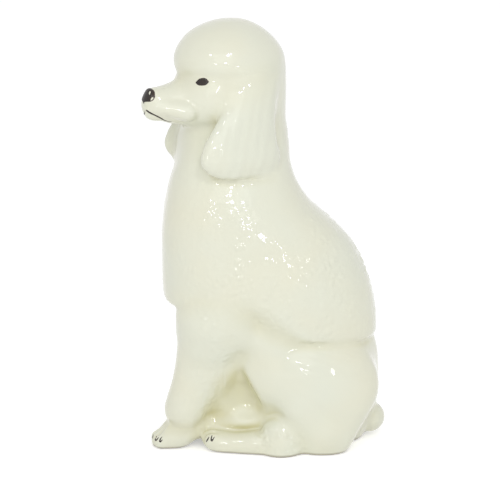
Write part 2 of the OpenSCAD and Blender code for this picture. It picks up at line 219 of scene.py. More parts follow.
def seatField(p):
    x, y, z = p.T
    folded = np.stack([np.abs(x), y, z], 1)
    lump, edge, recess, flank = (trunk[k] for k in ("webLump", "webEdge", "recess", "flank"))
    web = melt(loftField(x, y, z, webLoft), ellipsoid(p, lump["middle"], lump["radii"]), lump["fillet"])
    web = melt(web, limb(folded, edge["rear"], edge["front"], *edge["radii"]), edge["fillet"])
    rump = loftField(x, y, z, seatLoft)
    rump = trim(rump, -ellipsoid(folded, recess["middle"], recess["radii"]), recess["fillet"])
    rump = melt(rump, limb(folded, flank["front"], flank["rear"], *flank["radii"]), flank["fillet"])
    return melt(rump, web, trunk["webFillet"])


# Head: places are (forward, side, height over the neck seam), about a pivot that it turns on
head = {
    "pivot": (0, -13, 140), "turn": 20,
    "topknot": [  # height, front, back, half width
        (55.3, 2.0, 2.0, 0), (54.7, 8.4, -4.0, 5.5), (52.6, 15.4, -9.8, 11.3), (49.2, 21.0, -15.0, 15.9),
        (45.7, 24.2, -18.6, 18.7), (41.9, 26.5, -21.2, 20.8), (38.3, 27.4, -22.6, 21.7),
        (35, 26.8, -23.3, 21.5), (32.2, 24.7, -23.6, 21.0), (28.3, 22.0, -23.8, 20.3),
        (20, 19.5, -24.0, 18.6), (10.3, 18.5, -23.9, 17.2), (2, 19.5, -23.6, 16.6), (-5, 18.5, -22.6, 14.5),
        (-10, 12, -17, 9), (-13, -3.5, -3.5, 0)],
    "muzzle": [  # reach, bottom, top, half width
        (0, 11.1, 33.9, 17.6), (8.7, 9.5, 34.2, 18.2), (16.5, 9.1, 33.0, 16.4), (22.6, 9.4, 31.2, 13.2),
        (27.8, 10.2, 29.4, 10.0), (32.2, 11.2, 28.2, 8.1), (36.1, 12.6, 27.5, 6.7), (39.6, 13.8, 27.1, 5.5),
        (41.5, 14.7, 26.4, 4.6), (42.7, 15.7, 24.2, 3.6), (43.5, 16.9, 22.2, 2.5), (43.95, 19.2, 19.2, 0)],
    "muzzleFullness": 2.2, "muzzleFillet": 6.5,
    "cheek": {"middle": (12.0, 7.5, 24.0), "radii": (13.0, 9.6, 10.0), "fillet": 4.0},
    "lip": {"rear": (26.2, 8.8, 17.6), "front": (37.8, 3.0, 19.7), "radii": (4.7, 3.6), "fillet": 1.2},
    "farThroat": {"middle": (15.8, -12.0, -2.0), "radii": (6.0, 7.0, 12.0), "fillet": 5},
    "chin": {"middle": (38.0, 0, 15.6), "radii": (4.6, 3.6, 2.8), "fillet": 1.5},
}
topknotLoft = makeLoft([(z, -f, -b, h) for z, f, b, h in head["topknot"]])
muzzleLoft = makeLoft(head["muzzle"])


# The head's own frame has x across, y backward and z over the seam
def toHead(p):
    return (p - np.array(head["pivot"], float)) @ turnZ(head["turn"])


def placeInHead(place):
    forward, across, height = place
    return across, -forward, height


def fromHead(place, side=1):
    forward, across, height = place
    return np.array([across * side, -forward, height]) @ turnZ(-head["turn"]) + np.array(head["pivot"], float)


def meltBall(d, q, ball):
    forward, across, height = ball["radii"]
    return melt(d, ellipsoid(q, placeInHead(ball["middle"]), (across, forward, height)), ball["fillet"])


def headField(p):
    q = toHead(p)
    x, y, z = q.T
    skull = loftField(x, y, z, topknotLoft)
    # the muzzle's rows run forward, so its reach takes the place of the height
    snout = loftField(x, z, -y, muzzleLoft, head["muzzleFullness"])
    d = melt(skull, snout, head["muzzleFillet"])
    lip = head["lip"]
    for side in sides.values():
        mirrored = mirror(q, side)
        d = meltBall(d, mirrored, head["cheek"])
        lips = limb(mirrored, placeInHead(lip["rear"]), placeInHead(lip["front"]), *lip["radii"])
        d = melt(d, lips, lip["fillet"])
    d = meltBall(d, q, head["farThroat"])
    return meltBall(d, q, head["chin"])


ears = {
    "rows": [  # height over the seam, front, back, half thickness, distance from the head's middle
        (34.0, -2.8, -2.8, 0.0, 13.2), (31.5, 3.2, -8.9, 3.2, 15.6), (25.2, 7.2, -9.5, 4.8, 17.7),
        (17.3, 13.6, -9.8, 5.3, 18.9), (9.6, 19.2, -10.3, 5.5, 19.4), (1.9, 23.7, -11.4, 5.6, 20.1),
        (-4.1, 24.8, -12.3, 5.5, 20.3), (-8.4, 21.8, -10.2, 4.9, 19.9), (-11.3, 16.4, -4.8, 3.7, 19.5),
        (-12.7, 6.5, 6.5, 0.0, 19.1)],
}
earLoft = makeLoft([(z, -f, -b, h, m) for z, f, b, h, m in ears["rows"]])


def earField(p, name):
    x, y, z = mirror(toHead(p), sides[name]).T
    return loftField(x, y, z, earLoft)


forelegs = {
    "rows": [  # height, front, back, half width, middle across
        (79, -22, -22, 0, 13.0), (76, -31, -10, 5.6, 13.2), (71, -37.4, -4.0, 11.2, 14.0),
        (66, -40.2, -2.4, 13.8, 13.8), (59, -40.5, -2.8, 14.7, 13.5),
        (49.3, -39.9, -7.2, 12.9, 12.5), (40.5, -40.7, -12.2, 10.3, 11.3), (32.5, -42.2, -17.4, 9.8, 10.7),
        (24.3, -44.5, -22.2, 9.55, 10.2), (18.6, -45.7, -26.0, 9.4, 10.0), (14.5, -44.7, -28.2, 8.6, 9.8),
        (11.8, -41, -31.0, 6.4, 9.5), (10.6, -35.5, -35.5, 0, 9.4)],
    "setBack": {"left": 0, "right": 6.5},
}
forelegLoft = makeLoft(forelegs["rows"])


def forelegField(p, name):
    x, y, z = mirror(p, sides[name]).T
    return loftField(x, y - forelegs["setBack"][name], z, forelegLoft)


# Paws run forward from the heel: reach, bottom, top, half width
frontPaws = {
    "heel": (7.6, -31.05), "turn": 0, "setBack": {"left": 0, "right": 11.0}, "fullness": 2.3,
    "rows": [
        (-4.0, 8.5, 8.5, 0), (-2.4, 5.2, 12, 3.8), (0.5, 3.0, 13.5, 6.0), (4, 0.4, 15, 7.3),
        (8, -1.6, 15, 7.6), (12, -2.2, 12.4, 7.2), (14.3, -2.2, 10.6, 6.8), (16.8, -1.8, 8.0, 6.4),
        (18.8, -0.8, 6.7, 5.4), (20.2, 0.6, 5.6, 3.8), (20.9, 3.2, 3.2, 0)],
    "toes": {"from": 11.5, "full": 16.5, "spread": 3.3, "width": 0.75, "depth": 0.8},
}
hindPaws = {
    "heel": (21.0, 0.0), "turn": -16, "setBack": {"left": 0, "right": 4}, "fullness": 2.3,
    "rows": [
        (-7, 3.5, 3.5, 0), (-4, -0.5, 8.0, 4.6), (0, -1.5, 9.4, 5.9), (5.5, -1.8, 9.8, 6.2),
        (10, -1.8, 9.0, 6.3), (16, -1.6, 8.6, 6.4), (22, -1.4, 9.2, 6.5), (25.2, -0.6, 9.7, 6.1),
        (27.6, 0.6, 8.8, 4.8), (29.0, 2.4, 7.2, 3.0), (29.6, 4.8, 4.8, 0)],
    "toes": {"from": 20.5, "full": 25.5, "spread": 3.1, "width": 0.75, "depth": 0.8},
}
for paws in (frontPaws, hindPaws):
    paws["loft"] = makeLoft(paws["rows"])


# A paw that points along -Y from its heel, with three grooves between its toes
def pawField(p, name, paws):
    q = mirror(p, sides[name]) - np.array([*paws["heel"], 0]) - np.array([0, paws["setBack"][name], 0])
    x, y, z = (q @ turnZ(paws["turn"])).T
    d = loftField(x, z, -y, paws["loft"], paws["fullness"])
    toes = paws["toes"]
    groove = sum(np.exp(-(((x - i * toes["spread"]) / toes["width"]) ** 2)) for i in (-1, 0, 1))
    return d + toes["depth"] * groove * ramp(-y, toes["from"], toes["full"])


haunches = {
    "fullness": 2.5,
    "rows": [
        (56, 3.7, 36.6, 9.8, 12.4), (50.4, -4.3, 41.5, 11.9, 13.1), (43.1, -9.5, 47.3, 13.8, 14.4),
        (35, -8.5, 50.6, 14.7, 15.0), (28, -3.7, 51.2, 14.9, 15.3), (21.8, 2.4, 49.7, 14.8, 15.4),
        (15.1, 7.6, 46.1, 14.0, 15.7), (8.1, 11.6, 41.5, 12.7, 16.8), (3.1, 13.7, 37.8, 11.2, 17.7),
        (0, 15.2, 36.0, 10.0, 18.0), (-6, 15.5, 35.5, 9.5, 18)],
    "shank": [(23.2, 14.0, 21.0, 6.2), (23.2, 25.8, 9.6, 6.5), (20.6, 31.8, 6.5, 6.0)],   # place and radius
    "hockFillet": 3, "shankFillet": 5,
}
haunchLoft = makeLoft(haunches["rows"])


def haunchField(p, name):
    q = mirror(p, sides[name])
    thigh = loftField(*q.T, haunchLoft, haunches["fullness"])
    return melt(thigh, chainOfLimbs(q, haunches["shank"], haunches["hockFillet"]), haunches["shankFillet"])


hindCuffs = {"middle": (20.3, 6.5, 4.2), "radii": (9.8, 10.3, 13.1)}


def cuffField(p, name):
    return ellipsoid(mirror(p, sides[name]), hindCuffs["middle"], hindCuffs["radii"])


tailBall = {"middle": (0, 49.45, 8.5), "radius": 7.2}


def tailField(p):
    return ellipsoid(p, tailBall["middle"], (tailBall["radius"],) * 3)


halfSpan = 40   # mm to each side, past every piece
reachOut = 9.0   # mm round its box within which a casting is worked out exactly
beyond = 3.0   # mm added past that, so that no fillet shows there

# Every casting: its field, and the box outside which it needn't be worked out
castings = {
    "torso_coat": (coatField, (-30, -47, 45), (30, 53, 146)),
    "torso_seat": (seatField, (-27, -27, -1), (27, 54, 67)),
    "head": (headField, (-30, -58, 130), (30, 16, 196)),
    "tail_pompon": (tailField, (-8, 41, 0), (8, 58, 17)),
}
paired = {  # how far the box goes past the middle, then its front and foot, and its back and top
    "ear": (earField, 0, (-44, 125), (12, 176)),
    "foreleg": (forelegField, 0, (-47, 9), (7, 76)),
    "front_paw": (lambda p, name: pawField(p, name, frontPaws), 2, (-56, -1), (-20, 14)),
    "haunch": (haunchField, 2, (-10, -1), (53, 57)),
    "hind_cuff": (cuffField, 0, (-5, -1), (18, 18)),
    "hind_paw": (lambda p, name: pawField(p, name, hindPaws), 0, (-32, -1), (10, 13)),
}
for name, side in sides.items():
    low, high = sorted((0, halfSpan * side))
    for node, (shape, past, start, end) in paired.items():
        castings[f"{name}_{node}"] = (
            lambda p, shape=shape, name=name: shape(p, name), (low - past, *start), (high + past, *end))


def fields(p):
    found = {}
    for name, (shape, low, high) in castings.items():
        gap = np.maximum(np.maximum(np.array(low) - p, p - np.array(high)), 0)
        away = np.sqrt((gap ** 2).sum(1))
        near = away < reachOut
        d = away + beyond
        if near.any():
            d[near] = shape(p[near])
        found[name] = d
    return found


# Fillets in mm, as slip and glaze leave them. Pairs are the heights, or places along the body, between
# which one grows.
seams = {
    "haunch": {"fillet": 5, "more": 5, "before": (-4, 8), "above": (10, 20)},
    "hindCuff": {"fillet": 2.2, "more": 3.5, "behind": (2, 12)},
    "hindPaw": 1.6, "tail": 1.6,
    "coat": {"fillet": 1.9, "more": 5.6, "before": (2, 22)},
    "foreleg": {"fillet": 1.8, "more": 4.4, "behind": (-42, -30), "before": (-12, 2), "above": (36, 56)},
    "legToWeb": {"share": 0.6, "more": 0.9, "behind": (-34, -25), "above": (13, 19), "below": (32, 44)},
    "frontPaw": 4.8, "head": 6,
    # the leather runs into the topknot above and behind, and stands clear along its front edge
    "ear": {"fillet": {"left": 3.0, "right": 5.0}, "more": 4.5, "above": (150, 176),
            "behind": (-5, 11), "behindAbove": (140, 160)},
}


# The glazed skin: the castings melted together, the foot cut flat and the vent bored
def skin(p):
    f = fields(p)
    x, y, z = p.T
    d = f["torso_seat"]
    seam = seams["haunch"]
    for name in sides:
        d = melt(d, f[name + "_haunch"],
                 seam["fillet"] + seam["more"] * fall(y, *seam["before"]) * ramp(z, *seam["above"]))
    seam = seams["hindCuff"]
    for name in sides:
        d = melt(d, f[name + "_hind_cuff"], seam["fillet"] + seam["more"] * ramp(y, *seam["behind"]))
        d = melt(d, f[name + "_hind_paw"], seams["hindPaw"])
    d = melt(d, f["tail_pompon"], seams["tail"])
    seam = seams["coat"]
    d = melt(d, f["torso_coat"], seam["fillet"] + seam["more"] * fall(y, *seam["before"]))
    seam, web = seams["foreleg"], seams["legToWeb"]
    low = web["share"] + web["more"] * ramp(z, *web["above"]) * fall(z, *web["below"])
    high = np.maximum(ramp(z, *seam["above"]), ramp(y, *web["behind"]) * low)
    for name in sides:
        d = melt(d, f[name + "_foreleg"],
                 seam["fillet"] + seam["more"] * ramp(y, *seam["behind"]) * fall(y, *seam["before"]) * high)
        d = melt(d, f[name + "_front_paw"], seams["frontPaw"])
    d = melt(d, f["head"], seams["head"])
    seam = seams["ear"]
    behind = ramp(toHead(p)[:, 1], *seam["behind"]) * ramp(z, *seam["behindAbove"])
    hold = np.maximum(ramp(z, *seam["above"]), behind)
    for name in sides:
        d = melt(d, f[name + "_ear"], seam["fillet"][name] + seam["more"] * hold)
    d = trim(d, -z, trunk["footRound"])
    vent = trunk["vent"]
    bore = np.hypot(x, y - vent["along"]) - vent["radius"]
    return trim(d, -np.maximum(bore, z - vent["depth"]), vent["round"])


voxel = 0.6   # mm between the samples that the skin is drawn from
# The box is in mm, and the rest in samples: blocks that the skin isn't near are passed over
drawing = {"low": (-34.0, -58.0, -2.0), "high": (34.0, 60.0, 198.0), "block": 4, "nearBlocks": 1.5, "band": 3,
           "batch": 400000}
settling = {"rounds": 2, "leastSlope": 0.05, "longestStep": 0.4}


def drawSkin():
    low, high = np.array(drawing["low"]), np.array(drawing["high"])
    block, batch = drawing["block"], drawing["batch"]
    counts = np.ceil((high - low) / (voxel * block)).astype(int)
    axes = [low[i] + (np.arange(counts[i]) + 0.5) * voxel * block - voxel / 2 for i in range(3)]
    centres = np.stack(np.meshgrid(*axes, indexing="ij"), -1).reshape(-1, 3)
    coarse = skin(centres).reshape(counts)
    field = np.repeat(np.repeat(np.repeat(coarse, block, 0), block, 1), block, 2).astype(np.float32)
    near = np.argwhere(np.abs(coarse) < voxel * block * drawing["nearBlocks"])
    local = np.stack(np.meshgrid(*[np.arange(block)] * 3, indexing="ij"), -1).reshape(-1, 3)
    index = (near[:, None] * block + local[None]).reshape(-1, 3)
    for start in range(0, len(index), batch):
        i = index[start:start + batch]
        field[i[:, 0], i[:, 1], i[:, 2]] = skin(low + i * voxel)
    band = drawing["band"] * voxel
    grid = openvdb.FloatGrid(band)
    grid.copyFromArray(np.clip(field, -band, band))
    points, quads = grid.convertToQuads(0.0)
    return low + points.astype(float) * voxel, quads.astype(int)


def gradient(p, reach=0.35):
    out = np.zeros_like(p)
    for k in range(3):
        offset = np.zeros(3)
        offset[k] = reach
        out[:, k] = skin(p + offset) - skin(p - offset)
    return out / (2 * reach)


print("skin: sampling every", voxel, "mm")
points, quads = drawSkin()
print("skin:", len(points), "points,", len(quads), "faces")
for _ in range(settling["rounds"]):   # settle the points onto the surface itself
    g = gradient(points)
    steep = np.maximum((g ** 2).sum(1), settling["leastSlope"])
    longest = settling["longestStep"]
    points -= g * np.clip(skin(points) / steep, -longest, longest)[:, None]
normals = gradient(points)
normals /= np.maximum(np.sqrt((normals ** 2).sum(1)), tiny)[:, None]


# Colours are written as sRGB hex and turned to linear here
def linear(code):
    c = [int(code[i:i + 2], 16) / 255 for i in (1, 3, 5)]
    return tuple(x / 12.92 if x <= 0.04045 else ((x + 0.055) / 1.055) ** 2.4 for x in c) + (1.0,)


def addNode(tree, kind, settings=None, inputs=None, links=None):
    node = tree.nodes.new(kind)
    for key, value in (settings or {}).items():
        setattr(node, key, value)
    for key, value in (inputs or {}).items():
        node.inputs[key].default_value = value
    for key, source in (links or {}).items():
        tree.links.new(source, node.inputs[key])
    return node


def newMaterial(name, constants):
    material = bpy.data.materials.new(name)
    material.use_nodes = True
    shader = material.node_tree.nodes["Principled BSDF"]
    for key, value in constants.items():
        shader.inputs[key].default_value = value
    return material, material.node_tree, shader


# Coats of colour over a ground. Each shows where its source goes from one value to another.
def layColours(tree, ground, coats):
    tone = None
    for source, coat in coats:
        share = addNode(tree, "ShaderNodeMapRange", None, {
            "From Min": coat["from"], "From Max": coat["to"], "To Max": coat["most"]}, {"Value": source})
        blend = addNode(tree, "ShaderNodeMix", {"data_type": "RGBA"}, None, {0: share.outputs["Result"]})
        first, second = (i for i in blend.inputs if i.type == "RGBA")
        if tone:
            tree.links.new(tone, first)
        else:
            first.default_value = linear(ground)
        second.default_value = linear(coat["colour"])
        tone = next(o for o in blend.outputs if o.type == "RGBA")
    return tone


# Scale of a texture whose features are so many mm apart
def scaleOf(size):
    return 1 / (size * mm)


glaze = {
    "ground": "#E7E9D8",
    "drift": {"colour": "#E9E8D3", "from": 0.35, "to": 0.7, "most": 1.0, "size": 34.0},   # mm across a patch
    # the next three are painted shade: olive darkening in the hair's small hollows, in the creases and
    # between the legs
    "hollow": {"colour": "#DBD7B2", "from": 0.05, "to": 0.6, "most": 0.28},   # in the hair
    "creaseShade": {"colour": "#DBD7B2", "from": 0.2, "to": 1.0, "most": 1.0},   # in the creases
    "low": {"colour": "#CFC892", "from": 0.25, "to": 0.9, "most": 0.6},   # between the legs
    "foot": {"colour": "#6E5A34", "from": 1.6 * mm, "to": 0, "most": 0.9},   # bare clay, and painted contact shade, at the table
    "clayRoughness": 0.4, "clayShine": 0.15, "glossRoughness": 0.06, "index": 1.5,
    "peel": {"size": 3.4, "height": 0.018},   # mm: the slow ripple of a run glaze
    "fluff": {"size": 2.4, "height": 0.024},   # mm: the finest hair, half filled by the glaze
}


# Slip-cast earthenware under a thick clear gloss glaze: a soft ivory body with sharp small highlights.
# Painted olive shade darkens the creases, the hair's small hollows and the space between the legs; the foot
# is brown, bare clay with painted contact shade at the table
def ivoryGlaze():
    material, tree, shader = newMaterial("glossIvoryGlaze", {
        "Roughness": glaze["clayRoughness"], "Specular IOR Level": glaze["clayShine"], "Coat Weight": 1.0,
        "Coat Roughness": glaze["glossRoughness"], "Coat IOR": glaze["index"]})
    place = addNode(tree, "ShaderNodeTexCoord").outputs["Object"]
    sources = {name: addNode(tree, "ShaderNodeAttribute", {"attribute_name": name}).outputs["Fac"]
               for name in ("hollow", "creaseShade", "low", "curl")}
    sources["drift"] = addNode(tree, "ShaderNodeTexNoise", None, {
        "Scale": scaleOf(glaze["drift"]["size"]), "Detail": 2.0}, {"Vector": place}).outputs["Fac"]
    sources["foot"] = addNode(tree, "ShaderNodeSeparateXYZ", None, None, {"Vector": place}).outputs["Z"]
    # over the ground: a random drift of tone, painted shade in the hair's hollows, in the creases and between
    # the legs, then the foot's brown
    tone = layColours(tree, glaze["ground"], [
        (sources[name], glaze[name]) for name in ("drift", "hollow", "creaseShade", "low", "foot")])
    tree.links.new(tone, shader.inputs["Base Color"])
    tufts = addNode(tree, "ShaderNodeTexVoronoi", {"feature": "SMOOTH_F1"}, {
        "Scale": scaleOf(glaze["fluff"]["size"])}, {"Vector": place})
    fluff = addNode(tree, "ShaderNodeMath", {"operation": "MULTIPLY"}, None, {
        0: tufts.outputs["Distance"], 1: sources["curl"]})
    hair = addNode(tree, "ShaderNodeBump", {"invert": True}, {"Distance": glaze["fluff"]["height"] * mm}, {
        "Height": fluff.outputs["Value"]})
    peel = addNode(tree, "ShaderNodeTexNoise", None, {
        "Scale": scaleOf(glaze["peel"]["size"]), "Detail": 1.0}, {"Vector": place})
    ripple = addNode(tree, "ShaderNodeBump", None, {"Distance": glaze["peel"]["height"] * mm}, {
        "Height": peel.outputs["Fac"], "Normal": hair.outputs["Normal"]})
    for key in ("Normal", "Coat Normal"):
        tree.links.new(ripple.outputs["Normal"], shader.inputs[key])
    return material


ivory = ivoryGlaze()


# The modelled hair, in mm. Pairs are the heights, or places along the body, between which it comes in or
# goes out, and a share is what is left of it there.
relief = {
    "near": (0.2, 2.5),   # off a casting, where its hair ends
    "curl": {"size": 3.6, "height": 0.4, "dip": 0.75, "strongest": 1.6},   # the stippled coat
    "swirl": {"size": 5.0, "shift": 1.3},   # pushes the curls about
    "patch": {"size": 15.0, "least": 0.35, "more": 1.3, "shift": 0.2, "most": 0.8, "onCuffs": 1.1},
    "coat": {"hemShare": 0.35, "hem": (44, 62), "chestShare": 0.3, "chest": (-42, -27),
             "maneLoss": 0.8, "mane": (100, 120)},
    "cuff": {"strength": 1.6, "edge": (1.2, 4), "above": (0.5, 3), "below": (10, 14)},
    "leg": {"above": (12, 18), "frontShare": 0.35, "front": (-34, -22)},
    "tail": {"strength": 0.7, "above": (1, 4)},
    "face": {"loss": 0.9, "above": (140, 150)},
    "ripple": {"size": 9.0, "height": 0.16},   # the hand-worked clay under the hair
    "tooling": {"size": 4.2, "height": 0.07, "squeeze": 0.45, "lean": 0.35},   # strokes of the tool
    "clearOfFoot": (0.8, 4),   # where these two end
    "comb": {"across": 2.1, "along": 16.0, "height": 0.24, "lean": 0.3, "above": (36, 41), "below": (47, 51),
             "behind": (12, 18), "before": (38, 46)},   # fine combed lines on the thighs
    # soft waves down the leathers
    "ear": {"spacing": 5.2, "height": 0.08, "lean": 0.25, "leanFrom": 10, "below": (158, 170),
            "drift": 2.2, "driftSize": 11.0, "dapple": 1.4, "dappleSize": 6.0},
}
seeds = {"swirl": (1, 2, 3), "patch": 4, "ripple": 5, "earDrift": 6, "earDapple": 7, "tooling": 8, "comb": 9}
seedSteps = (17.3, 5.1, 9.7)


def noiseAt(p, size, seed):
    shift = Vector([seed * step for step in seedSteps])
    return np.array([noise.noise(Vector(q) + shift) for q in (p / size).tolist()])


def curlsAt(p, size):
    out = np.empty(len(p))
    for i, q in enumerate((p / size).tolist()):
        near = noise.voronoi(q)[0]
        out[i] = near[1] - near[0]
    return out


# The strength of the stipple, less what the glaze fills, and its strength on the hind cuffs
def stippleAt(p, found, near, filled):
    y, z = p[:, 1], p[:, 2]
    coat, cuff, leg, tail, face = (relief[k] for k in ("coat", "cuff", "leg", "tail", "face"))
    onCoat = (near["torso_coat"] * grow(coat["hemShare"], z, *coat["hem"])
              * (1 - coat["maneLoss"] * ramp(z, *coat["mane"])) * grow(coat["chestShare"], y, *coat["chest"]))
    offCuffs = np.minimum(found["left_hind_cuff"], found["right_hind_cuff"])
    onCuffs = (cuff["strength"] * fall(offCuffs, *cuff["edge"]) * ramp(z, *cuff["above"])
               * fall(z, *cuff["below"]))
    onLegs = (np.maximum(near["left_foreleg"], near["right_foreleg"]) * ramp(z, *leg["above"])
              * grow(leg["frontShare"], y, *leg["front"]))
    onTail = near["tail_pompon"] * ramp(z, *tail["above"]) * tail["strength"]
    stipple = np.clip(np.max([onCoat, onCuffs, onLegs, onTail], 0), 0, relief["curl"]["strongest"])
    onFace = near["head"] * ramp(z, *face["above"])
    return stipple * ((1 - face["loss"] * onFace) * (1 - filled)), onCuffs


# How far the modelled hair stands off the smooth form, and how strong its stipple is
def reliefAt(p, filled=0.0):
    found = fields(p)
    near = {k: fall(v, *relief["near"]) for k, v in found.items()}
    y, z = p[:, 1], p[:, 2]
    stipple, onCuffs = stippleAt(p, found, near, filled)
    curl, swirl, patch = relief["curl"], relief["swirl"], relief["patch"]
    pushed = p + np.stack([noiseAt(p, swirl["size"], k) for k in seeds["swirl"]], 1) * swirl["shift"]
    bumps = ramp(curlsAt(pushed, curl["size"]), 0, curl["dip"]) - 0.5
    uneven = np.clip(noiseAt(p, patch["size"], seeds["patch"]) + patch["shift"], 0, patch["most"])
    uneven = np.maximum(patch["least"] + patch["more"] * uneven, patch["onCuffs"] * np.clip(onCuffs, 0, 1))
    height = curl["height"] * stipple * uneven * bumps
    ripple, tooling, comb, ear = (relief[k] for k in ("ripple", "tooling", "comb", "ear"))
    clear = ramp(z, *relief["clearOfFoot"])
    height += ripple["height"] * clear * noiseAt(p, ripple["size"], seeds["ripple"])
    stroked = p * np.array([1, tooling["squeeze"], 1]) + np.array([0, 0, tooling["lean"]]) * p[:, 1:2]
    height += tooling["height"] * clear * noiseAt(stroked, tooling["size"], seeds["tooling"])
    onThighs = (ramp(z, *comb["above"]) * fall(z, *comb["below"]) * ramp(y, *comb["behind"])
                * fall(y, *comb["before"]) * (1 - near["torso_coat"]))
    combed = np.stack([p[:, 0] / comb["across"], (y - comb["lean"] * z) / comb["along"],
                       (z + comb["lean"] * y) / comb["across"]], 1)
    height += comb["height"] * onThighs * noiseAt(combed, 1.0, seeds["comb"])
    q = toHead(p)
    across = -q[:, 1] + ear["lean"] * (q[:, 2] - ear["leanFrom"])
    drift = ear["drift"] * noiseAt(p, ear["driftSize"], seeds["earDrift"])
    waves = np.cos(2 * math.pi * across / ear["spacing"] + drift)
    waves += ear["dapple"] * noiseAt(p, ear["dappleSize"], seeds["earDapple"])
    for name in sides:
        height += ear["height"] * (near[name + "_ear"] * fall(z, *ear["below"])) * waves
    return height, stipple


# How closed in by clay a place is within a reach, in mm: it sets the painted shade in the creases, in the
# hair and between the legs, and how much of the hair the glaze fills
creaseShadeAndFill = {
    "crease": {"reach": 4, "strength": 0.85, "maneLoss": 0.35, "mane": (105, 120)},
    "fine": {"reach": 1.6},
    "between": {"reach": 11, "below": (32, 46), "above": (6, 12), "behind": (-34, -24),
                "topLoss": 0.75, "facingUp": (0.1, 0.7)},
    "fill": {"share": 0.8, "from": (0.4, 0.8)},   # how much of the hair it fills in a crease
}


def closedIn(reach):
    return np.clip(1 - skin(points + normals * reach) / reach, 0, 1)


def pointNormals(p, faces):
    across = np.cross(p[faces[:, 2]] - p[faces[:, 0]], p[faces[:, 3]] - p[faces[:, 1]])
    out = np.zeros_like(p)
    for k in range(4):
        np.add.at(out, faces[:, k], across)
    return out / np.maximum(np.sqrt((out ** 2).sum(1)), tiny)[:, None]


print("skin: modelling the hair")
crease, between, fill = creaseShadeAndFill["crease"], creaseShadeAndFill["between"], creaseShadeAndFill["fill"]
y, z = points[:, 1], points[:, 2]
# how closed in each point is: it sets the painted crease shade, and how much of the hair the glaze fills
creaseCloseness = closedIn(crease["reach"])
lift, curlMark = reliefAt(points, fill["share"] * ramp(creaseCloseness, *fill["from"]))
skinPoints = points + normals * lift[:, None]
few = quads[:200]   # enough faces to tell which way round they run
a, b, c = (points[few[:, k]] for k in range(3))
if (np.cross(b - a, c - a) * normals[few[:, 0]]).sum() < 0:
    quads = quads[:, ::-1].copy()
skinNormals = pointNormals(skinPoints, quads)
# painted shade between the legs, left lighter where the surface faces up
shadeBetweenLegs = closedIn(between["reach"]) * fall(z, *between["below"])
shadeBetweenLegs *= (ramp(z, *between["above"]) * ramp(y, *between["behind"])
              * (1 - between["topLoss"] * ramp(normals[:, 2], *between["facingUp"])))
# the marks that the colours read: painted shade in the creases, between the legs and in the hair's small
# hollows, and the stipple's strength
skinMarks = {
    "creaseShade": creaseCloseness * (crease["strength"] - crease["maneLoss"] * ramp(z, *crease["mane"])),
    "curl": curlMark, "low": shadeBetweenLegs, "hollow": closedIn(creaseShadeAndFill["fine"]["reach"])}


cutting = {
    "evening": 4,   # rounds that even out the border between two castings
    "scrap": 40,   # mm2: an island smaller than this goes to its neighbour
    "wall": 1.4, "cover": 0.05,   # mm: how far a hidden wall goes in, and the clay that has to lie over it
}


# Faces of one owner that touch along an edge get one number
def islands(owner, pairs):
    number = np.arange(len(owner))
    pairs = pairs[owner[pairs[:, 0]] == owner[pairs[:, 1]]]
    while True:
        lowest = number.copy()
        small = np.minimum(number[pairs[:, 0]], number[pairs[:, 1]])
        np.minimum.at(lowest, pairs[:, 0], small)
        np.minimum.at(lowest, pairs[:, 1], small)
        lowest = lowest[lowest]
        if (lowest == number).all():
            return number
        number = lowest


def sharedEdges(faces):
    a = faces.reshape(-1)
    b = np.roll(faces, -1, 1).reshape(-1)
    key = np.minimum(a, b) * (faces.max() + 1) + np.maximum(a, b)
    order = np.argsort(key, kind="stable")
    same = key[order][1:] == key[order][:-1]
    return np.stack([order[:-1][same], order[1:][same]], 1) // faces.shape[1]


# Each face goes to the casting it lies on. Ragged borders are evened out and cut-off scraps given away.
def ownFaces():
    owner = np.argmin(list(fields(points[quads].mean(1)).values()), 0)
    pairs = sharedEdges(quads)
    both = np.concatenate([pairs, pairs[:, ::-1]])
    for _ in range(cutting["evening"]):
        votes = np.zeros((len(owner), len(castings)), np.int8)
        votes[np.arange(len(owner)), owner] = 1
        np.add.at(votes, (both[:, 0], owner[both[:, 1]]), 1)
        owner = votes.argmax(1)
    number = islands(owner, pairs)
    scrap = np.bincount(number, minlength=len(owner))[number] * voxel ** 2 < cutting["scrap"]
    while scrap.any():
        beside = both[scrap[both[:, 0]] & ~scrap[both[:, 1]]]
        if not len(beside):
            break
        owner[beside[:, 0]] = owner[beside[:, 1]]
        scrap[beside[:, 0]] = False
    return owner


def addObject(name, data):
    obj = bpy.data.objects.new(name, data)
    bpy.context.collection.objects.link(obj)
    return obj


def addSmoothMesh(name, vertices, faces, marks):
    mesh = bpy.data.meshes.new(name)
    mesh.from_pydata((vertices * mm).tolist(), [], faces)
    mesh.polygons.foreach_set("use_smooth", [True] * len(mesh.polygons))
    for key, values in marks.items():
        mesh.attributes.new(key, "FLOAT", "POINT").data.foreach_set("value", values.astype(np.float32))
    return addObject(name, mesh)


